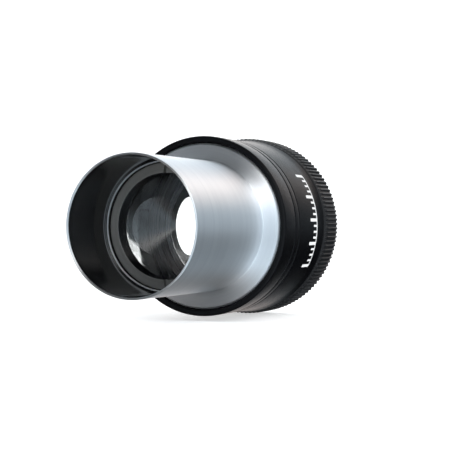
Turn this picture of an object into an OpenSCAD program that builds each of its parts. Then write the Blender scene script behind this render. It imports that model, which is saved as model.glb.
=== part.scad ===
// Wide-field 10x eyepiece, 30.5 mm push-in tube.
// The optical axis is +Y (towards the eye). The origin is the centre of the
// flange face that seats on the eyetube; the tube runs from there to -Y.
// Millimetres throughout.

/* [Tube] */
// Outside diameter of the push-in tube
tube_d = 30.5; // [30:0.05:31.75]
// Length of the push-in tube, mouth to seating face
tube_len = 35.6; // [30:0.1:40]
// Wall thickness of the tube
tube_wall = 0.5; // [0.4:0.05:0.6]
// Outside diameter of the bright seating flange
flange_d = 38.6; // [38:0.1:39]

/* [Body] */
// Outside diameter of the black body
body_d = 41.9; // [41.5:0.1:42.5]
// Height at which the body ends and the focus ring starts
body_len = 24.9; // [24.5:0.1:25.2]
// Depth of the two turned grooves round the body
groove_depth = 0.45; // [0.2:0.05:0.6]
// Position of the first groove along the axis
groove_1 = 6.4; // [5:0.1:8]
// Position of the second groove along the axis
groove_2 = 9.1; // [8.6:0.1:11]

/* [Focus ring] */
// Diameter over the knurl
knurl_d = 44.0; // [43.6:0.1:45]
// Number of knurl teeth
knurl_teeth = 126; // [90:1:140]
// Depth of the knurl
knurl_depth = 0.45; // [0.2:0.05:0.5]
// Front face of the focus ring along the axis
ring_front = 25.6; // [25.4:0.1:25.8]
// Rear face of the focus ring along the axis
ring_rear = 34.4; // [34.2:0.1:35.5]

/* [Focusing] */
// Axial travel of the lens carrier to each side of the middle
focus_travel = 2.0; // [1:0.1:2.1]
// Lead of the cam slots, per turn of the ring
cam_lead = 12.0; // [11:0.5:16]
// Radius of the drive pins
pin_r = 0.6; // [0.5:0.05:0.6]

/* [Optics] */
// Clear diameter of the field stop
stop_d = 21.2; // [18:0.2:22]
// Opening of the slotted ring under the field lens
retainer_d = 23.2; // [22:0.1:24]
// Radius of curvature of the field lens
field_lens_r = 28.0; // [27.5:0.1:28.5]
// Width of the spanner slots
slot_w = 1.0; // [0.8:0.1:1.2]

/* [Hidden] */
$fn = 128;
eps = 0.02;

tube_r = tube_d / 2;
bore_r = tube_r - tube_wall;
seat_r = bore_r - 0.20;             // bore that the field cell screws into
mouth_end = -19.5;                 // depth of the plain bore in the mouth
flange_r = flange_d / 2;
body_r = body_d / 2;
knurl_r = knurl_d / 2;
flare_r = body_r + 0.4;            // the body's rim beside the focus ring
neck_r = 19.2;                     // journal that the focus ring turns on
neck_bore = 17.3;                  // bore that the lens carrier slides in
neck_end = 33.0;
cam_in = 19.28;
cam_out = 20.55;
carrier_r = 17.24;
pin_y = 28.8;                      // drive pins at the middle of the travel
cell_front = -19.3;                // lip of the field cell inside the tube
slot_hw = pin_r + 0.1;             // half-width of the straight guide slots
spigot_r = 17.6;                   // threaded rear of the barrel
spigot_end = 9.0;

// a 2D outline of [radius, position] turned round the optical axis
module turned(pts) {
  rotate([-90, 0, 0]) rotate_extrude($fn = 128) polygon(pts);
}
// children made along +Z, laid along the optical axis
module along(y = 0) {
  translate([0, y, 0]) rotate([-90, 0, 0]) children();
}
// children made along +Z, pointing outwards from the axis at an angle, at position y
module radial(y, angle) {
  translate([0, y, 0]) rotate([0, -angle, 0]) rotate([0, 90, 0]) children();
}
// points of an arc: centre, radius, from angle a to b, n steps
function arc(cx, cy, r, a, b, n) =
  [for (i = [0:n]) [cx + r * cos(a + (b - a) * i / n), cy + r * sin(a + (b - a) * i / n)]];
// a lens: biconvex or plano-convex between two sphere caps, edge radius er
// vertex positions y1 < y2, radii r1 (front, 0 = flat) and r2 (rear, 0 = flat)
module lens(er, y1, y2, r1, r2) {
  intersection() {
    along(y1) cylinder(r = er, h = y2 - y1);
    if (r1 > 0) translate([0, y1 + r1, 0]) sphere(r = r1);
    if (r2 > 0) translate([0, y2 - r2, 0]) sphere(r = r2);
  }
}

// points of a sphere cap's section from the axis out to radius er: vertex at y,
// radius of curvature rc, bulging towards -Y (s = -1) or +Y (s = 1)
function cap(er, y, rc, s, n = 14) =
  [for (i = [0:n]) let (q = er * i / n) [q, y - s * (rc - sqrt(rc * rc - q * q))]];
function back(v) = [for (i = [len(v) - 1:-1:0]) v[i]];

// ---- housing --------------------------------------------------------------

module barrel() {
  color([0.80, 0.82, 0.84])
  turned(concat(
    [[bore_r + 0.12, -tube_len], [tube_r - 0.14, -tube_len], [tube_r, -tube_len + 0.14],
     [tube_r, -0.28]],
    arc(tube_r + 0.28, -0.28, 0.28, 180, 90, 4),
    [[flange_r - 0.4, 0], [flange_r, 0.4], [flange_r, 2.2],
     [spigot_r, 2.2], [spigot_r, 2.9], [spigot_r - 0.35, 3.1], [spigot_r - 0.35, 3.9],
     [spigot_r, 4.1], [spigot_r, spigot_end - 0.4], [spigot_r - 0.4, spigot_end],
     [seat_r, spigot_end], [seat_r, mouth_end + 0.1], [bore_r, mouth_end], [bore_r, -tube_len + 0.2]]
  ));
}

module body_shell() {
  g = groove_depth;
  color([0.09, 0.09, 0.10])
  difference() {
    turned(concat(
      // front lip round the flange, rounded outside
      [[flange_r + 0.22, -0.15], [flange_r + 0.45, -0.35]],
      arc(body_r - 0.9, 0.55, 0.9, -90, 0, 6),
      // first and second groove
      [[body_r, groove_1 - 0.38], [body_r - g, groove_1 - 0.12], [body_r - g, groove_1 + 0.12],
       [body_r, groove_1 + 0.38]],
      [[body_r, groove_2 - 0.38], [body_r - g, groove_2 - 0.12], [body_r - g, groove_2 + 0.12],
       [body_r, groove_2 + 0.38]],
      // flare towards the focus ring
      [[body_r, body_len - 3.3]],
      [for (i = [1:5]) [body_r + (flare_r - body_r) * pow(i / 5, 2), body_len - 3.3 + 3.1 * i / 5]],
      [[flare_r - 0.1, body_len]],
      // journal for the focus ring, with the keeper groove
      [[neck_r, body_len], [neck_r, 32.15], [neck_r - 0.6, 32.15], [neck_r - 0.6, 32.75],
       [neck_r, 32.75], [neck_r, neck_end - 0.2], [neck_r - 0.2, neck_end], [neck_bore, neck_end]],
      // bore of the carrier, relief and thread for the barrel
      [[neck_bore, 17.0], [18.6, 16.2], [18.6, spigot_end + 0.6], [spigot_r + 0.03, spigot_end + 0.4],
       [spigot_r + 0.03, 2.24], [flange_r + 0.22, 2.24]]
    ));
    // straight guide slots through the neck
    for (a = [90, 270], z = [-1, 1])
      radial(pin_y + z * (focus_travel + 0.25), a) translate([0, 0, 15]) cylinder(r = slot_hw, h = 6, $fn = 32);
    translate([-slot_hw, pin_y - focus_travel - 0.25, -21]) cube([2 * slot_hw, 2 * focus_travel + 0.5, 6]);
    translate([-slot_hw, pin_y - focus_travel - 0.25, 15]) cube([2 * slot_hw, 2 * focus_travel + 0.5, 6]);
    // tapped hole of the lock screw
    radial(4.8, 180) cylinder(r = 1.0, h = 25, $fn = 32);
  }
}

module barrel_lock_screw() {
  color([0.2, 0.2, 0.21])
  radial(4.8, 180) translate([0, 0, spigot_r + 0.04])
    difference() {
      cylinder(r = 0.97, h = 2.9, $fn = 32);
      translate([0, 0, 1.9]) cylinder(r = 0.5, h = 2, $fn = 6);
    }
}

module field_cell() {
  color([0.16, 0.16, 0.17])
  turned([
    [14.1, cell_front + 0.05], [14.15, cell_front], [14.42, cell_front], [14.47, cell_front + 0.05],
    [14.47, -16.0], [seat_r - 0.05, -15.8], [seat_r - 0.05, -9.0], [14.42, -8.8], [14.42, 10.6],
    [13.75, 10.6], [13.75, 5.3],
    [13.0, 5.3], [13.0, -9.7], [13.62, -9.7], [13.62, -14.88], [14.1, -14.88]
  ]);
}

module field_lens_retainer() {
  r = retainer_d / 2;
  color([0.22, 0.22, 0.22])
  difference() {
    turned([[r, cell_front + 0.28], [r + 0.12, cell_front + 0.2], [13.9, cell_front + 0.95], [14.05, cell_front + 1.15],
            [14.05, -14.95], [12.2, -14.95], [r, -15.3]]);
    for (s = [-1, 1])
      translate([-slot_w / 2, cell_front - 1, s > 0 ? r - 1 : -r - 4])
        cube([slot_w, 2.6, 5]);
  }
}

module field_lens() {
  color([0.75, 0.85, 0.9, 0.4])
  lens(13.55, -14.9, -10.0, 0, field_lens_r);
}

module field_lens_spacer() {
  color([0.10, 0.10, 0.11])
  turned([[12.6, -12.94], [13.5, -13.41], [13.57, -13.3], [13.57, -9.73], [13.05, -9.73], [12.6, -10.8]]);
}

module field_stop() {
  r = stop_d / 2;
  // a cup with a stepped floor that narrows to the clear opening
  color([0.13, 0.13, 0.14])
  turned([[13.25, 5.33], [13.7, 5.33], [13.7, 9.75], [r, 9.75], [r, 9.6], [r + 0.7, 9.45], [r + 0.7, 9.1],
          [r + 1.4, 9.0], [r + 1.4, 8.7], [r + 2.1, 8.6], [r + 2.1, 8.35], [13.25, 8.3]]);
}

module field_stop_ring() {
  color([0.10, 0.10, 0.11])
  difference() {
    turned([[12.3, 9.78], [13.7, 9.78], [13.7, 10.55], [12.6, 10.55]]);
    translate([-0.5, 10.15, -14]) cube([1.0, 1, 28]);
  }
}

module friction_washer() {
  color([0.14, 0.14, 0.15])
  turned([[neck_r + 0.06, body_len + eps], [cam_out - 0.2, body_len + eps],
          [cam_out - 0.2, body_len + 0.62], [neck_r + 0.06, body_len + 0.62]]);
}

module ring_keeper() {
  color([0.55, 0.56, 0.58])
  difference() {
    turned([[neck_r - 0.55, 32.2], [cam_out - 0.45, 32.2], [cam_out - 0.45, 32.7], [neck_r - 0.55, 32.7]]);
    translate([0, 31, -2.2]) cube([25, 3, 4.4]);
  }
}

// ---- lens carrier ---------------------------------------------------------

module lens_carrier() {
  color([0.12, 0.12, 0.13])
  difference() {
    turned([
      [12.6, 13.0], [16.7, 13.0], [16.9, 13.2], [16.9, 18.8], [carrier_r, 19.2], [carrier_r, 21.0], [16.9, 21.4],
      [16.9, 25.6], [carrier_r, 26.0], [carrier_r, 30.9], [16.9, 31.2], [15.9, 31.2], [15.9, 27.9], [15.55, 27.8],
      [15.55, 14.2], [13.0, 14.2]
    ]);
    for (a = [90, 270]) radial(pin_y, a) translate([0, 0, 15.75]) cylinder(r = pin_r - 0.02, h = 3, $fn = 32);
  }
}

module drive_pins() {
  color([0.72, 0.73, 0.75])
  for (a = [90, 270]) radial(pin_y, a) translate([0, 0, 15.95]) {
    cylinder(r = pin_r - 0.04, h = 1.8, $fn = 32);
    translate([0, 0, 1.35]) cylinder(r = pin_r, h = 3.05, $fn = 32);
  }
}

module doublet_seat_ring() {
  color([0.10, 0.10, 0.11])
  turned([[13.2, 14.22], [15.5, 14.22], [15.5, 18.40], [14.4, 17.72], [13.2, 17.04]]);
}

module doublet_crown() {
  color([0.75, 0.85, 0.92, 0.4])
  turned(concat(cap(15.45, 13.8, 28, -1), back(cap(15.45, 23.5, 31, 1))));
}

module doublet_flint() {
  color([0.80, 0.84, 0.80, 0.4])
  turned(concat(cap(15.45, 23.53, 31, 1), [[15.45, 25.0], [0, 25.0]]));
}

module lens_spacer() {
  color([0.10, 0.10, 0.11])
  turned([[15.05, 25.03], [15.5, 25.03], [15.5, 25.47], [15.15, 25.47]]);
}

module eye_lens() {
  color([0.72, 0.84, 0.80, 0.4])
  lens(15.45, 25.5, 30.0, 0, 45);
}

module eye_lens_retainer() {
  color([0.11, 0.11, 0.12])
  difference() {
    turned([[15.12, 27.47], [15.5, 27.47], [15.5, 28.0], [15.84, 28.0], [15.84, 30.9], [15.6, 30.9], [15.12, 29.4]]);
    translate([-0.45, 30.2, -17]) cube([0.9, 1, 34]);
  }
}

// ---- focus ring -----------------------------------------------------------

module knurled_ring() {
  n = knurl_teeth;
  w = 360 / n;
  root = knurl_r - knurl_depth;
  color([0.10, 0.10, 0.11])
  difference() {
    intersection() {
      along(ring_front) linear_extrude(ring_rear - ring_front)
        polygon([for (i = [0:n - 1]) each [
          [root * cos(i * w - 0.30 * w), root * sin(i * w - 0.30 * w)],
          [knurl_r * cos(i * w - 0.14 * w), knurl_r * sin(i * w - 0.14 * w)],
          [knurl_r * cos(i * w + 0.14 * w), knurl_r * sin(i * w + 0.14 * w)],
          [root * cos(i * w + 0.30 * w), root * sin(i * w + 0.30 * w)]]]);
      turned([[cam_out, ring_front], [flare_r, ring_front], [knurl_r + 0.01, ring_front + 1.0],
              [knurl_r + 0.01, ring_rear - 0.8], [knurl_r - 0.8, ring_rear], [cam_out, ring_rear]]);
    }
    along(ring_front - 1) cylinder(r = cam_out + 0.02, h = 12);
  }
}

// one helical slot for a drive pin, cut through the cam ring's wall. At every
// level the slot is a sector, which turns back as it rises; a0 is the angle of
// the slot's middle.
cam_k = 360 / cam_lead;                    // degrees of turn per millimetre
slot_half = pin_r + 0.12;                  // half the slot's width along the axis
module cam_slot(a0) {
  span = focus_travel + slot_half;
  sector = 2 * slot_half * cam_k;
  along(pin_y - span) rotate([0, 0, a0 + span * cam_k - sector / 2])
    linear_extrude(2 * span, twist = 2 * span * cam_k, slices = 30, $fn = 12)
      polygon(concat(
        [for (i = [0:4]) [18.2 * cos(sector * i / 4), 18.2 * sin(sector * i / 4)]],
        [for (i = [4:-1:0]) [22.4 * cos(sector * i / 4), 22.4 * sin(sector * i / 4)]]));
}

module cam_ring() {
  color([0.72, 0.60, 0.36])
  difference() {
    turned([[cam_in, 25.57], [cam_out, 25.57], [cam_out, 32.05], [cam_in, 32.05]]);
    cam_slot(90);
    cam_slot(270);
  }
}

module eye_cap() {
  color([0.08, 0.08, 0.09])
  turned([[15.1, 33.75], [17.6, 33.4], [20.2, 33.35], [20.2, 32.95], [cam_out - 0.02, 32.95], [cam_out - 0.02, 34.2],
          [20.0, 34.4], [19.0, 34.4], [17.4, 34.15], [15.3, 33.95]]);
}

barrel();
body_shell();
barrel_lock_screw();
field_cell();
field_lens_retainer();
field_lens();
field_lens_spacer();
field_stop();
field_stop_ring();
friction_washer();
ring_keeper();
lens_carrier();
drive_pins();
doublet_seat_ring();
doublet_crown();
doublet_flint();
lens_spacer();
eye_lens();
eye_lens_retainer();
knurled_ring();
cam_ring();
eye_cap();
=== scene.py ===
"""Wide-field eyepiece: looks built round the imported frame."""
import bpy
import bmesh
import math
from mathutils import Vector, Matrix


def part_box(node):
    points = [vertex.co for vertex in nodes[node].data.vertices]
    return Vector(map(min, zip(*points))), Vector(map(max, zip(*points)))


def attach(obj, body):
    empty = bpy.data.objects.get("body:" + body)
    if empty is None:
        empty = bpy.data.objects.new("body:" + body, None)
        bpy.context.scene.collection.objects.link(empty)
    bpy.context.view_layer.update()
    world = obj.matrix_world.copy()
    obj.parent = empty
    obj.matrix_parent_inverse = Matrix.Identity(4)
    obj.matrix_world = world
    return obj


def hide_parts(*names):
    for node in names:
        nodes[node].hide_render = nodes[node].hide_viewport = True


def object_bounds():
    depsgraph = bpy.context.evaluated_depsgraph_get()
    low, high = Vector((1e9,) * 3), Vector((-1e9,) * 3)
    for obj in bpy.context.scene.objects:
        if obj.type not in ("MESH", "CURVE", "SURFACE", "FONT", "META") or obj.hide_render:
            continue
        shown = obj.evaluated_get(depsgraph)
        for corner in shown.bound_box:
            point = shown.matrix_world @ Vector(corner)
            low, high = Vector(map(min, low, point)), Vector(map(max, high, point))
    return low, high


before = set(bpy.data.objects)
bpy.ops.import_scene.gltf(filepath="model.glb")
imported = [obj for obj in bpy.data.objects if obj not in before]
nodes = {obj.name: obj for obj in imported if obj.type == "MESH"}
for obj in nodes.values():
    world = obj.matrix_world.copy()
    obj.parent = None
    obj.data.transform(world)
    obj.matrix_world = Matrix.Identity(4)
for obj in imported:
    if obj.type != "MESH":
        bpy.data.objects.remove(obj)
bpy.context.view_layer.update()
MM = 0.001

scene = bpy.context.scene
scene.view_settings.view_transform = "Standard"
scene.view_settings.look = "None"
scene.view_settings.exposure = 0.0
scene.view_settings.gamma = 1.0


# --------------------------------------------------------------------------
# node helpers
# --------------------------------------------------------------------------
def fill(cr, stops):
    """Sets a colour ramp's stops, given in rising order."""
    while len(cr.elements) > 1:
        cr.elements.remove(cr.elements[-1])
    cr.elements[0].position = stops[0][0]
    for p, c in stops[1:]:
        cr.elements.new(p)
    for e, (p, c) in zip(cr.elements, stops):
        e.color = c if len(c) == 4 else (*c, 1.0)


class Mat:
    def __init__(self, name):
        self.m = bpy.data.materials.new(name)
        self.m.use_nodes = True
        self.t = self.m.node_tree
        self.n = self.t.nodes
        self.l = self.t.links
        self.bsdf = self.n["Principled BSDF"]
        self.out = self.n["Material Output"]

    def node(self, kind, **kw):
        nd = self.n.new(kind)
        for k, v in kw.items():
            setattr(nd, k, v)
        return nd

    def link(self, a, b):
        self.l.new(a, b)

    def math(self, op, a, b=None, c=None, clamp=False):
        nd = self.n.new("ShaderNodeMath")
        nd.operation = op
        nd.use_clamp = clamp
        for i, v in enumerate((a, b, c)):
            if v is None:
                continue
            if isinstance(v, (int, float)):
                nd.inputs[i].default_value = v
            else:
                self.l.new(v, nd.inputs[i])
        return nd.outputs[0]

    def coords(self):
        """Object coordinates: (x, y, z) sockets and the radius from the optical axis."""
        tc = self.n.new("ShaderNodeTexCoord")
        sep = self.n.new("ShaderNodeSeparateXYZ")
        self.l.new(tc.outputs["Object"], sep.inputs[0])
        x, y, z = sep.outputs
        r = self.math("SQRT", self.math("ADD", self.math("MULTIPLY", x, x), self.math("MULTIPLY", z, z)))
        return tc.outputs["Object"], x, y, z, r

    def vec(self, x=0.0, y=0.0, z=0.0):
        nd = self.n.new("ShaderNodeCombineXYZ")
        for i, v in enumerate((x, y, z)):
            if isinstance(v, (int, float)):
                nd.inputs[i].default_value = v
            else:
                self.l.new(v, nd.inputs[i])
        return nd.outputs[0]

    def noise(self, vector, scale, detail=2.0, rough=0.5, dims="3D"):
        nd = self.n.new("ShaderNodeTexNoise")
        nd.noise_dimensions = dims
        nd.inputs["Scale"].default_value = scale
        nd.inputs["Detail"].default_value = detail
        nd.inputs["Roughness"].default_value = rough
        self.l.new(vector, nd.inputs["Vector"])
        return nd.outputs["Fac"]

    def ramp(self, fac, stops, interp="LINEAR"):
        nd = self.n.new("ShaderNodeValToRGB")
        nd.color_ramp.interpolation = interp
        fill(nd.color_ramp, stops)
        self.l.new(fac, nd.inputs["Fac"])
        return nd.outputs["Color"]

    def maprange(self, v, a, b, c, d):
        nd = self.n.new("ShaderNodeMapRange")
        nd.inputs["From Min"].default_value = a
        nd.inputs["From Max"].default_value = b
        nd.inputs["To Min"].default_value = c
        nd.inputs["To Max"].default_value = d
        self.l.new(v, nd.inputs["Value"])
        return nd.outputs["Result"]

    def bump(self, height, strength, distance, normal=None):
        nd = self.n.new("ShaderNodeBump")
        nd.inputs["Strength"].default_value = strength
        nd.inputs["Distance"].default_value = distance
        self.l.new(height, nd.inputs["Height"])
        if normal is not None:
            self.l.new(normal, nd.inputs["Normal"])
        return nd.outputs["Normal"]

    def set(self, **kw):
        for k, v in kw.items():
            self.bsdf.inputs[k.replace("_", " ")].default_value = v


def rgb(*c):
    return (*c, 1.0)


# --------------------------------------------------------------------------
# materials
# --------------------------------------------------------------------------
def bright_metal(name, rough=0.38, aniso=0.95, base=(0.80, 0.815, 0.83)):
    """Bare aluminium turned on a lathe: fine rings round the axis."""
    m = Mat(name)
    _, x, y, z, r = m.coords()
    ang = m.math("ARCTAN2", z, x)
    prof = m.vec(m.math("MULTIPLY", r, 1.0), y, m.math("MULTIPLY", ang, 0.00015))
    rings = m.noise(prof, 3000.0, 3.0, 0.75)
    broad = m.noise(prof, 600.0, 2.0, 0.5)
    col = m.ramp(m.math("ADD", m.math("MULTIPLY", rings, 0.5), m.math("MULTIPLY", broad, 0.5)),
                 [(0.34, rgb(base[0] * 0.92, base[1] * 0.92, base[2] * 0.93)), (0.62, rgb(*base))])
    m.link(col, m.bsdf.inputs["Base Color"])
    m.set(Metallic=1.0, Anisotropic=aniso)
    m.bsdf.inputs["Anisotropic Rotation"].default_value = 0.25
    m.link(m.maprange(rings, 0.3, 0.7, rough * 0.92, rough * 1.08), m.bsdf.inputs["Roughness"])
    m.link(m.bump(rings, 0.03, 0.00002), m.bsdf.inputs["Normal"])
    tan = m.node("ShaderNodeTangent", direction_type="RADIAL", axis="Y")
    m.link(tan.outputs[0], m.bsdf.inputs["Tangent"])
    return m.m


def ink(name):
    """White enamel print, a little uneven."""
    m = Mat(name)
    o, x, y, z, r = m.coords()
    g = m.noise(o, 4000.0, 2.0, 0.6)
    m.link(m.ramp(g, [(0.25, rgb(0.74, 0.74, 0.73)), (0.6, rgb(0.86, 0.86, 0.85))]), m.bsdf.inputs["Base Color"])
    m.link(m.maprange(g, 0.3, 0.7, 0.45, 0.6), m.bsdf.inputs["Roughness"])
    m.link(m.bump(g, 0.3, 0.00002), m.bsdf.inputs["Normal"])
    return m.m


def black_anodised(name, base=(0.003, 0.0032, 0.004), rough=0.32, grain=0.7, ior=1.2):
    """Black anodised aluminium, finely blasted."""
    m = Mat(name)
    o, x, y, z, r = m.coords()
    g = m.noise(o, 3600.0, 2.0, 0.6)
    g2 = m.noise(o, 900.0, 3.0, 0.55)
    col = m.ramp(g2, [(0.3, rgb(base[0] * 0.8, base[1] * 0.8, base[2] * 0.8)), (0.7, rgb(base[0] * 1.25, base[1] * 1.25, base[2] * 1.25))])
    m.link(col, m.bsdf.inputs["Base Color"])
    m.link(m.maprange(g, 0.3, 0.7, rough - 0.05, rough + 0.06), m.bsdf.inputs["Roughness"])
    m.set(Metallic=0.0, IOR=ior)
    m.link(m.bump(g, grain, 0.00005), m.bsdf.inputs["Normal"])
    return m.m


def gloss_black(name, base=(0.006, 0.006, 0.0065), rough=0.10):
    """Dark lacquered bore: smooth, with faint turning lines."""
    m = Mat(name)
    o, x, y, z, r = m.coords()
    prof = m.vec(r, y, 0.0)
    rings = m.noise(prof, 5000.0, 2.0, 0.6)
    m.link(m.ramp(rings, [(0.3, rgb(*[b * 0.8 for b in base])), (0.7, rgb(*[b * 1.3 for b in base]))]), m.bsdf.inputs["Base Color"])
    m.link(m.maprange(rings, 0.3, 0.7, rough * 0.8, rough * 1.4), m.bsdf.inputs["Roughness"])
    m.set(Metallic=0.0, IOR=1.5)
    m.link(m.bump(rings, 0.05, 0.00002), m.bsdf.inputs["Normal"])
    return m.m


def glass(name, tint=(0.985, 0.995, 0.99), ior=1.517, spec=0.12):
    m = Mat(name)
    m.bsdf.inputs["Base Color"].default_value = rgb(*tint)
    m.set(Metallic=0.0, Roughness=0.0, IOR=ior)
    m.bsdf.inputs["Transmission Weight"].default_value = 1.0
    m.bsdf.inputs["Specular IOR Level"].default_value = spec
    return m.m


def slotted_ring(name):
    """Retaining ring: turned grey face, dark polished bore."""
    m = Mat(name)
    o, x, y, z, r = m.coords()
    rings = m.noise(m.vec(r, y, 0.0), 4000.0, 2.0, 0.6)
    face = m.maprange(r, 0.01164, 0.01172, 0.0, 1.0)
    tone = m.math("MULTIPLY", m.maprange(rings, 0.3, 0.7, 0.85, 1.15), face)
    m.link(m.ramp(tone, [(0.0, rgb(0.004, 0.004, 0.005)), (0.8, rgb(0.15, 0.15, 0.145)), (1.0, rgb(0.19, 0.19, 0.185))]),
           m.bsdf.inputs["Base Color"])
    m.link(m.maprange(face, 0.0, 1.0, 0.07, 0.45), m.bsdf.inputs["Roughness"])
    m.set(Metallic=0.0, IOR=1.5)
    m.link(m.bump(rings, 0.05, 0.00002), m.bsdf.inputs["Normal"])
    return m.m


M = {
    "bright": bright_metal("bright_aluminium"),
    "lip": bright_metal("bright_lip", 0.45, 0.0),
    "black": black_anodised("black_anodised"),
    "matt": black_anodised("matt_black", (0.02, 0.02, 0.021), 0.45, 0.2),
    "gloss": gloss_black("gloss_black_bore"),
    "grey": gloss_black("dark_grey_turned", (0.055, 0.055, 0.053), 0.32),
    "stop": gloss_black("stepped_stop_black", (0.02, 0.02, 0.021), 0.22),
    "inner": gloss_black("inner_black", (0.012, 0.012, 0.013), 0.4),
    "glass": glass("coated_glass"),
    "field": glass("coated_glass_field", (0.99, 0.995, 0.995), 1.55, 0.2),
    "slotted": slotted_ring("slotted_ring"),
    "brass": bright_metal("brass_turned", 0.3, 0.5, (0.72, 0.52, 0.25)),
    "steel": bright_metal("steel_bright", 0.25, 0.4, (0.56, 0.57, 0.58)),
    "ring": black_anodised("black_anodised_ring", (0.014, 0.0143, 0.0155), 0.40, 0.25, 1.3),
    "edge": black_anodised("blackened_edge", (0.01, 0.01, 0.01), 0.6, 0.2),
    "ink": ink("white_ink"),
}
USE = {
    "barrel": "bright", "body_shell": "black", "barrel_lock_screw": "black",
    "field_cell": "gloss", "field_lens_retainer": "slotted", "field_lens": "glass",
    "field_lens_spacer": "stop", "field_stop": "stop", "field_stop_ring": "inner",
    "friction_washer": "matt", "ring_keeper": "steel", "lens_carrier": "inner",
    "drive_pins": "steel", "doublet_seat_ring": "inner", "doublet_crown": "glass",
    "doublet_flint": "glass", "lens_spacer": "matt", "eye_lens": "glass",
    "eye_lens_retainer": "matt", "knurled_ring": "black", "cam_ring": "brass", "eye_cap": "black",
}
for n, o in nodes.items():
    o.data.materials.clear()
    o.data.materials.append(M[USE[n]])

# --------------------------------------------------------------------------
# mesh helpers: everything is turned round the optical axis, in millimetres
# --------------------------------------------------------------------------
def rounded(pts, closed=True):
    """Rounds each corner of a section given as (r, y, fillet[, material]); returns (r, y, material) points."""
    out = []
    n = len(pts)
    for i, p in enumerate(pts):
        r0, y0, f = p[0], p[1], p[2]
        mat = p[3] if len(p) > 3 else 0
        if f <= 0 or (not closed and i in (0, n - 1)):
            out.append((r0, y0, mat))
            continue
        a, b = Vector(pts[i - 1][:2]), Vector(pts[(i + 1) % n][:2])
        c = Vector((r0, y0))
        da, db = (a - c), (b - c)
        la, lb = da.length, db.length
        da.normalize()
        db.normalize()
        ang = da.angle(db)
        if ang > math.radians(176):
            out.append((r0, y0, mat))
            continue
        t = min(f / math.tan(ang / 2), 0.45 * la, 0.45 * lb)
        rad = t * math.tan(ang / 2)
        cen = c + (da + db).normalized() * (rad / math.sin(ang / 2))
        p1, p2 = c + da * t, c + db * t
        a1 = math.atan2((p1 - cen).y, (p1 - cen).x)
        a2 = math.atan2((p2 - cen).y, (p2 - cen).x)
        d = (a2 - a1 + math.pi) % (2 * math.pi) - math.pi
        k = max(2, int(abs(d) / math.radians(16)) + 1)
        for j in range(k + 1):
            q = a1 + d * j / k
            out.append((cen.x + rad * math.cos(q), cen.y + rad * math.sin(q), mat))
    return out


def build(name, rows, closed_section, mats, sharp=28.0, seg=None):
    """Skins rows of vertices (each row one ring, all the same length) into a closed surface.
    rows: list of (list of (x, y, z) in mm, material index of the band up to the next row)."""
    me = bpy.data.meshes.new(name)
    verts, faces, fm = [], [], []
    index = []
    for pts, mat in rows:
        if len(pts) == 1:
            index.append([len(verts)])
            verts.append(tuple(c * MM for c in pts[0]))
        else:
            index.append(list(range(len(verts), len(verts) + len(pts))))
            verts += [tuple(c * MM for c in p) for p in pts]
    m = len(rows)
    for i in range(m if closed_section else m - 1):
        a, b = index[i], index[(i + 1) % m]
        mat = rows[i][1]
        n = max(len(a), len(b))
        for j in range(n):
            k = (j + 1) % n
            if len(a) == 1 and len(b) == 1:
                continue
            if len(a) == 1:
                faces.append((a[0], b[k], b[j]))
            elif len(b) == 1:
                faces.append((a[j], a[k], b[0]))
            else:
                faces.append((a[j], a[k], b[k], b[j]))
            fm.append(mat)
    me.from_pydata(verts, [], faces)
    for mt in mats:
        me.materials.append(mt)
    me.polygons.foreach_set("material_index", fm)
    me.polygons.foreach_set("use_smooth", [True] * len(faces))
    me.update()
    bm = bmesh.new()
    bm.from_mesh(me)
    bmesh.ops.recalc_face_normals(bm, faces=bm.faces)
    bm.to_mesh(me)
    bm.free()
    me.set_sharp_from_angle(angle=math.radians(sharp))
    ob = bpy.data.objects.new(name, me)
    scene.collection.objects.link(ob)
    return ob


def turned(name, section, mats, seg=256, closed=True, sharp=28.0):
    """A section of (r, y[, material]) points turned round the axis."""
    rows = []
    for p in section:
        r, y = p[0], p[1]
        mat = p[2] if len(p) > 2 else 0
        if r < 1e-6:
            rows.append(([(0.0, y, 0.0)], mat))
        else:
            rows.append(([(r * math.cos(2 * math.pi * j / seg), y, r * math.sin(2 * math.pi * j / seg)) for j in range(seg)], mat))
    return build(name, rows, closed, mats, sharp)


def stands_for(ob, body, slot, *cad):
    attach(ob, body)
    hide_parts(*cad)
    return ob


def mmbox(node):
    lo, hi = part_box(node)
    return lo / MM, hi / MM


# ---- main sizes, read from the frame --------------------------------------
blo, bhi = mmbox("barrel")
Y_MOUTH = blo.y
slo, shi = mmbox("body_shell")
R_FLARE = shi.x
klo, khi = mmbox("knurled_ring")
R_KNURL, Y_RING0, Y_RING1 = khi.z, klo.y, khi.y
R_FLANGE = bhi.x
R_TUBE, R_BORE, R_SEAT = 15.25, 14.75, 14.55
R_BODY = 20.95
Y_BODY1 = 24.9

# ---- barrel: bright outside, dark bore ------------------------------------
BR, BK = 0, 1
sec = rounded([
    (R_BORE + 0.10, Y_MOUTH, 0.03, BR), (R_TUBE, Y_MOUTH, 0.13, BR),
    (R_TUBE, 0.0, 0.26, BR), (R_FLANGE - 0.40, 0.0, 0.05, BR), (R_FLANGE, 0.42, 0.08, BR),
    (R_FLANGE, 2.2, 0.05, BR), (17.6, 2.2, 0.05, BR), (17.6, 9.0, 0.2, BR), (R_SEAT, 9.0, 0.1, BK),
    (R_SEAT, -19.4, 0.02, BK), (R_BORE, -19.5, 0.02, BK), (R_BORE, Y_MOUTH + 0.22, 0.03, BR),
])
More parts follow.
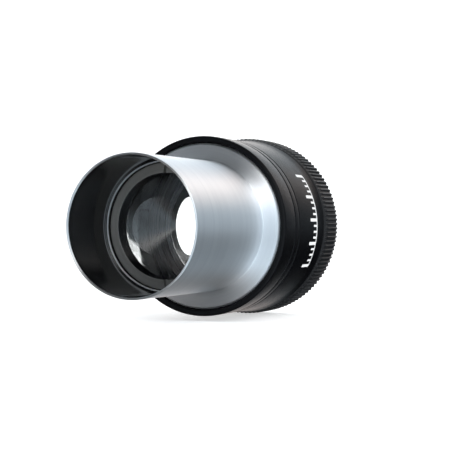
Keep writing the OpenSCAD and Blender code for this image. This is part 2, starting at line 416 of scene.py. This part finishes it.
# long stretches are cut into shorter bands so that the turning reads evenly
dense = []
for i, p in enumerate(sec):
    dense.append(p)
    q = sec[(i + 1) % len(sec)]
    L = math.hypot(q[0] - p[0], q[1] - p[1])
    if L > 3.0:
        k = int(L / 1.5)
        for j in range(1, k):
            dense.append((p[0] + (q[0] - p[0]) * j / k, p[1] + (q[1] - p[1]) * j / k, p[2]))
barrel = stands_for(turned("push_in_tube", dense, [M["bright"], M["gloss"]], seg=320), "housing", "bright_aluminium", "barrel")

# ---- body shell -----------------------------------------------------------
def groove(y, w=0.36, d=0.45, wall=0.14):
    return [(R_BODY, y - w, 0.05), (R_BODY - d, y - wall, 0.05), (R_BODY - d, y + wall, 0.05), (R_BODY, y + w, 0.05)]


flare = [(R_BODY + (R_FLARE - R_BODY) * (i / 10) ** 2, Y_BODY1 - 3.3 + 3.12 * i / 10, 0) for i in range(1, 11)]
sec = rounded(
    [(19.52, -0.12, 0.08), (19.78, -0.35, 0.15), (R_BODY, -0.35, 0.85)]
    + groove(6.4) + groove(9.1)
    + [(R_BODY, Y_BODY1 - 3.3, 0)] + flare
    + [(R_FLARE - 0.06, Y_BODY1, 0.06), (19.2, Y_BODY1, 0.1), (19.2, 32.15, 0.03), (18.6, 32.15, 0.03), (18.6, 32.75, 0.03),
       (19.2, 32.75, 0.03), (19.2, 33.0, 0.1), (17.3, 33.0, 0.1), (17.3, 17.0, 0.1), (18.6, 16.2, 0.1), (18.6, 9.6, 0.1),
       (17.63, 9.4, 0.05), (17.63, 2.24, 0.05), (19.52, 2.24, 0.05)])
shell = turned("body_sleeve", sec, [M["black"]], seg=320)
stands_for(shell, "housing", "black_anodised", "body_shell")

# ---- focus ring with its knurl --------------------------------------------
TEETH = 126
ROOT = R_KNURL - 0.45


def tooth_radius(t):
    """Radius of the knurl at t, 0..1 over one pitch, crest in the middle at 0.5."""
    d = abs(t - 0.5) * 2.0                     # 0 at the crest's middle, 1 at the groove's middle
    if d < 0.24:
        k = 0.0
    elif d > 0.66:
        k = 1.0
    else:
        k = (d - 0.24) / 0.42
        k = k * k * (3 - 2 * k)
    crown = 0.02 * (d / 0.24) ** 2 if d < 0.24 else 0.02
    return R_KNURL - crown * (1 - k) - (R_KNURL - ROOT) * k


def ring_envelope(y):
    c0, c1 = 1.05, 0.85
    if y < Y_RING0 + c0:
        t = (y - Y_RING0) / c0
        return (R_FLARE - 0.02) + (R_KNURL - R_FLARE + 0.02) * t
    if y > Y_RING1 - c1:
        t = (Y_RING1 - y) / c1
        return R_KNURL - 0.85 + 0.85 * (1 - (1 - t) ** 2) ** 0.5 if t < 1 else R_KNURL
    return R_KNURL


PER = 12
ANG = [(2 * math.pi * (i + j / PER) / TEETH, j / PER) for i in range(TEETH) for j in range(PER)]
ys = [Y_RING0 + 0.04, Y_RING0 + 0.12, Y_RING0 + 0.3, Y_RING0 + 0.45, Y_RING0 + 0.6, Y_RING0 + 0.75, Y_RING0 + 0.9, Y_RING0 + 1.0,
      Y_RING0 + 1.05, Y_RING0 + 1.12]
ys += [Y_RING0 + 1.12 + (Y_RING1 - 0.85 - Y_RING0 - 1.12) * i / 8 for i in range(1, 9)]
ys += [Y_RING1 - 0.85 * (1 - i / 8) for i in range(1, 8)] + [Y_RING1 - 0.02]
rows = [([(20.57 * math.cos(a), Y_RING0, 20.57 * math.sin(a)) for a, t in ANG], 0),
        ([((R_FLARE - 0.1) * math.cos(a), Y_RING0, (R_FLARE - 0.1) * math.sin(a)) for a, t in ANG], 0)]
for y in ys:
    e = ring_envelope(y)
    rows.append(([(min(e, tooth_radius(t)) * math.cos(a), y, min(e, tooth_radius(t)) * math.sin(a)) for a, t in ANG], 0))
rows.append(([(20.9 * math.cos(a), Y_RING1, 20.9 * math.sin(a)) for a, t in ANG], 0))
rows.append(([(20.57 * math.cos(a), Y_RING1 - 0.1, 20.57 * math.sin(a)) for a, t in ANG], 0))
knurl = build("knurled_focus_ring", rows, True, [M["ring"]], sharp=35.0)
stands_for(knurl, "focus_ring", "black_anodised", "knurled_ring")


# ---- glass ----------------------------------------------------------------
def cap_pts(er, y, rc, s, n=28):
    """Section of a sphere cap from the axis out; s = -1 bulges to -Y, +1 to +Y; rc 0 is flat."""
    out = []
    for i in range(n + 1):
        q = er * math.sin(math.pi / 2 * i / n)
        out.append((q, y if rc == 0 else y - s * (rc - math.sqrt(rc * rc - q * q))))
    return out


def lens(name, er, front, rear, mats):
    f = [(r, y, 0) for r, y in cap_pts(er, front[0], front[1], -1)]
    b = [(r, y, 0) for r, y in cap_pts(er, rear[0], rear[1], 1)][::-1]
    f[-1] = (f[-1][0], f[-1][1], 1)             # the ground edge is blackened
    ob = turned(name, f + b, mats, seg=160, closed=False, sharp=20.0)
    return ob


GL = [M["glass"], M["edge"]]
stands_for(lens("field_lens_glass", 13.55, (-14.9, 0), (-10.0, 28.0), [M["field"], M["edge"]]), "housing", "coated_glass", "field_lens")
stands_for(lens("doublet_glass", 15.45, (13.8, 28.0), (25.0, 0), GL), "lens_group", "coated_glass", "doublet_crown", "doublet_flint")
stands_for(lens("eye_lens_glass", 15.45, (25.5, 0), (30.0, 45.0), GL), "lens_group", "coated_glass", "eye_lens")

# ---- field cell, bare at its lip ------------------------------------------
sec = rounded([
    (14.12, -19.3, 0.03, 0), (14.47, -19.3, 0.04, 1), (14.47, -16.0, 0.05, 1), (14.50, -15.8, 0.01, 1), (14.50, -9.0, 0.01, 1),
    (14.42, -8.8, 0.03, 1), (14.42, 10.6, 0.1, 1), (13.75, 10.6, 0.05, 1), (13.75, 5.3, 0.02, 1), (13.0, 5.3, 0.1, 1),
    (13.0, -9.7, 0.05, 1), (13.62, -9.7, 0.02, 1), (13.62, -14.88, 0.02, 1), (14.1, -14.88, 0.02, 1), (14.1, -19.1, 0.02, 0),
])
cell = turned("field_lens_cell", sec, [M["lip"], M["gloss"]], seg=256)
stands_for(cell, "housing", "matt_black", "field_cell")

# ---- white index bars on the body -----------------------------------------
def bar(name, ang_deg, y0, y1, width):
    """A printed bar that lies along the axis, wrapped on the body; slightly proud, with soft ends."""
    r0, t = R_BODY - 0.01, 0.03
    na, ny = 6, 10
    half = width / 2 / R_BODY
    bm = bmesh.new()
    grid = []
    for i in range(na + 1):
        row = []
        for j in range(ny + 1):
            u = -1 + 2 * i / na
            v = j / ny
            # the ends are rounded a little
            inset = 0.10 * (abs(u) ** 4)
            y = y0 + inset + (y1 - y0 - 2 * inset) * v
            a = math.radians(ang_deg) + half * u
            edge = max(abs(u), abs(2 * v - 1))
            r = r0 + t * (1.0 if edge < 0.999 else 0.4)
            row.append(bm.verts.new((r * math.cos(a) * MM, y * MM, r * math.sin(a) * MM)))
        grid.append(row)
    under = []
    for i in range(na + 1):
        row = []
        for j in range(ny + 1):
            c = grid[i][j].co
            k = (r0 - 0.03) * MM / math.hypot(c.x, c.z)
            row.append(bm.verts.new((c.x * k, c.y, c.z * k)))
        under.append(row)
    for i in range(na):
        for j in range(ny):
            bm.faces.new((grid[i][j], grid[i + 1][j], grid[i + 1][j + 1], grid[i][j + 1]))
            bm.faces.new((under[i][j], under[i][j + 1], under[i + 1][j + 1], under[i + 1][j]))
    rim = [(i, 0) for i in range(na)] + [(na, j) for j in range(ny)] + [(i, ny) for i in range(na, 0, -1)] + [(0, j) for j in range(ny, 0, -1)]
    for k in range(len(rim)):
        (i1, j1), (i2, j2) = rim[k], rim[(k + 1) % len(rim)]
        bm.faces.new((grid[i1][j1], under[i1][j1], under[i2][j2], grid[i2][j2]))
    bmesh.ops.recalc_face_normals(bm, faces=bm.faces)
    me = bpy.data.meshes.new(name)
    bm.to_mesh(me)
    bm.free()
    for p in me.polygons:
        p.use_smooth = True
    me.set_sharp_from_angle(angle=math.radians(40))
    me.materials.append(M["ink"])
    ob = bpy.data.objects.new(name, me)
    scene.collection.objects.link(ob)
    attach(ob, "housing")
    return ob


def arc_line(name, a0, a1, y0, y1):
    """A printed line round the body between two angles."""
    steps = 48
    rows = []
    for i in range(steps + 1):
        a = math.radians(a0 + (a1 - a0) * i / steps)
        ring = []
        for r, y in ((R_BODY - 0.03, y0), (R_BODY + 0.01, y0), (R_BODY + 0.02, y0 + 0.06), (R_BODY + 0.02, y1 - 0.06),
                     (R_BODY + 0.01, y1), (R_BODY - 0.03, y1)):
            ring.append((r * math.cos(a), y, r * math.sin(a)))
        rows.append((ring, 0))
    first, last = rows[0][0], rows[-1][0]
    mid = lambda ring: tuple(sum(c[k] for c in ring) / len(ring) for k in range(3))
    ob = build(name, [([mid(first)], 0)] + rows + [([mid(last)], 0)], False, [M["ink"]], sharp=40.0)
    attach(ob, "housing")
    return ob


# a plain focusing scale: a line with ticks of two lengths
arc_line("scale_line", -27.3, 35.3, 20.95, 21.4)
for i in range(17):
    ang = -27.0 + 62.0 * i / 16
    if i % 4 == 0:
        bar("scale_tick_%02d" % (i + 1), ang, 16.7, 21.2, 0.75)
    else:
        bar("scale_tick_%02d" % (i + 1), ang, 18.9, 21.2, 0.5)

# --------------------------------------------------------------------------
# stage: white sweep, soft light
# --------------------------------------------------------------------------
FLOOR_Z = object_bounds()[0][2] - 0.0001


def sweep():
    prof = []
    for i in range(0, 3):
        prof.append((-0.9 + 0.85 * i, FLOOR_Z))
    for i in range(1, 13):
        a = math.pi / 2 * i / 12
        prof.append((0.8 + 0.5 * math.sin(a), FLOOR_Z + 0.5 * (1 - math.cos(a))))
    prof.append((1.3, 2.0))
    verts, faces = [], []
    for y, z in prof:
        verts += [(-2.5, y, z), (2.5, y, z)]
    for i in range(len(prof) - 1):
        faces.append((2 * i, 2 * i + 1, 2 * i + 3, 2 * i + 2))
    me = bpy.data.meshes.new("sweep")
    me.from_pydata(verts, [], faces)
    for p in me.polygons:
        p.use_smooth = True
    ob = bpy.data.objects.new("sweep", me)
    scene.collection.objects.link(ob)
    m = Mat("sweep_white")
    m.set(Roughness=0.9)
    m.bsdf.inputs["Base Color"].default_value = rgb(0.9, 0.9, 0.9)
    m.bsdf.inputs["Specular IOR Level"].default_value = 0.0
    m.bsdf.inputs["Emission Color"].default_value = rgb(1, 1, 1)
    m.bsdf.inputs["Emission Strength"].default_value = 0.55
    me.materials.append(m.m)
    ob.visible_glossy = False
    ob.visible_transmission = False
    return ob


sweep()


def card(name, centre, half, strength):
    """A lit white disc behind the eye end, seen only through the glass."""
    n = 48
    me = bpy.data.meshes.new(name)
    me.from_pydata([(centre[0] + half[0] * math.cos(2 * math.pi * i / n), centre[1], centre[2] + half[1] * math.sin(2 * math.pi * i / n))
                    for i in range(n)], [], [tuple(range(n))])
    ob = bpy.data.objects.new(name, me)
    scene.collection.objects.link(ob)
    m = Mat(name)
    m.bsdf.inputs["Base Color"].default_value = rgb(0.8, 0.8, 0.8)
    m.bsdf.inputs["Emission Color"].default_value = rgb(1, 1, 1)
    m.bsdf.inputs["Emission Strength"].default_value = strength
    me.materials.append(m.m)
    ob.visible_camera = False
    ob.visible_diffuse = False
    ob.visible_glossy = False
    ob.visible_shadow = False
    return ob


card("eye_side_card", (-0.06, 0.34, 0.0), (0.15, 0.26), 1.15)
card("eye_side_softbox", (0.12, 0.25, 0.165), (0.16, 0.10), 4.0)
card("eye_side_strip", (0.115, 0.34, 0.06), (0.03, 0.045), 3.0)

world = bpy.data.worlds.new("studio")
scene.world = world
world.use_nodes = True
wt = world.node_tree
wt.nodes.clear()


def wnode(kind, **kw):
    nd = wt.nodes.new(kind)
    for k, v in kw.items():
        setattr(nd, k, v)
    return nd


def wmath(op, a, b=None, clamp=False):
    nd = wnode("ShaderNodeMath", operation=op, use_clamp=clamp)
    for i, v in enumerate((a, b)):
        if v is None:
            continue
        if isinstance(v, (int, float)):
            nd.inputs[i].default_value = v
        else:
            wt.links.new(v, nd.inputs[i])
    return nd.outputs[0]


def wramp(fac, stops):
    nd = wnode("ShaderNodeValToRGB")
    nd.color_ramp.interpolation = "LINEAR"
    fill(nd.color_ramp, stops)
    wt.links.new(fac, nd.inputs["Fac"])
    return nd.outputs["Color"]


tc = wnode("ShaderNodeTexCoord")
sep = wnode("ShaderNodeSeparateXYZ")
wt.links.new(tc.outputs["Generated"], sep.inputs[0])
wx, wy, wz = sep.outputs
psi = wmath("ARCTAN2", wz, wx)                       # angle round the optical axis
fac = wmath("ADD", wmath("DIVIDE", psi, 2 * math.pi), 0.5)   # 0 = -180 deg, 0.5 = +X, 0.75 = up


def P(deg):
    return deg / 360.0 + 0.5


# angle round the direction that the bright end face mirrors towards the camera
chi = wmath("ARCTAN2", wz, wmath("ADD", wx, 0.41))
fac2 = wmath("ADD", wmath("DIVIDE", chi, 2 * math.pi), 0.5)

# tints of the light panels
WARM, COOL, EVEN = (1.08, 0.98, 0.94), (0.87, 1.01, 1.12), (1.0, 1.0, 1.0)

# seen by surfaces that face across the axis, the +Y half: angle, level, tint
SIDE = [
    (-180, 0.96, WARM),
    (-150, 0.27, WARM),
    (-128, 0.44, WARM),
    (-108, 0.14, COOL),
    (-85, 0.02, EVEN),
    (-60, 0.00, EVEN),
    (-40, 0.00, EVEN),
    (-18, 0.01, EVEN),
    (0, 0.08, COOL),
    (22, 0.10, COOL),
    (44, 0.21, WARM),
    (60, 0.49, WARM),
    (90, 0.39, COOL),
    (130, 0.75, EVEN),
    (180, 0.96, WARM),
]
# seen by the faces that look out along the tube, the -Y half
FRONT = [
    (-180, 0.02, COOL),
    (-150, 0.08, EVEN),
    (-125, 0.11, WARM),
    (-100, 0.03, EVEN),
    (-72, 0.01, EVEN),
    (-52, 0.20, EVEN),
    (-35, 0.49, COOL),
    (-10, 0.37, COOL),
    (12, 0.51, COOL),
    (30, 0.99, EVEN),
    (45, 0.03, COOL),
    (65, 0.00, EVEN),
    (90, 0.03, COOL),
    (120, 0.11, COOL),
    (150, 0.03, COOL),
    (180, 0.02, COOL),
]
side = wramp(fac, [(P(d), tuple(v * c for c in t)) for d, v, t in SIDE])
front = wramp(fac2, [(P(d), tuple(v * c for c in t)) for d, v, t in FRONT])
mix = wnode("ShaderNodeMix", data_type="RGBA")
wt.links.new(wmath("ADD", wmath("MULTIPLY", wy, 2.5), 0.5, clamp=True), mix.inputs[0])
wt.links.new(front, mix.inputs[6])
wt.links.new(side, mix.inputs[7])
bg = wnode("ShaderNodeBackground")
wt.links.new(mix.outputs[2], bg.inputs["Color"])
bg.inputs["Strength"].default_value = 3.0
wo = wnode("ShaderNodeOutputWorld")
wt.links.new(bg.outputs[0], wo.inputs[0])


def area(name, loc, target, size, power, size_y=None, color=(1, 1, 1)):
    ld = bpy.data.lights.new(name, "AREA")
    ld.energy = power
    ld.size = size
    if size_y:
        ld.shape = "RECTANGLE"
        ld.size_y = size_y
    ld.color = color
    ob = bpy.data.objects.new(name, ld)
    scene.collection.objects.link(ob)
    ob.location = loc
    d = Vector(target) - Vector(loc)
    ob.rotation_euler = d.to_track_quat("-Z", "Y").to_euler()
    return ob


key = area("top_softbox", (0.10, -0.05, 0.65), (0, 0, 0), 0.9, 0.18, 0.7)

# --------------------------------------------------------------------------
# camera: level with the axis, 23.4 degrees off it
# --------------------------------------------------------------------------
cam_data = bpy.data.cameras.new("camera")
cam = bpy.data.objects.new("camera", cam_data)
scene.collection.objects.link(cam)
scene.camera = cam
cam_data.sensor_width = 36.0
cam_data.lens = 1240.03 / 450.0 * 36.0
az = math.radians(23.39)
right = Vector((math.cos(az), math.sin(az), 0))
fwd = Vector((-math.sin(az), math.cos(az), 0))
rim = Vector((0, -35.6, 0)) * MM
cam.location = rim + right * (19.555 * MM) + Vector((0, 0, 1)) * (0.25 * MM) - fwd * (255.213 * MM)
cam.rotation_euler = fwd.to_track_quat("-Z", "Y").to_euler()
cam_data.clip_start = 0.01
cam_data.clip_end = 20.0
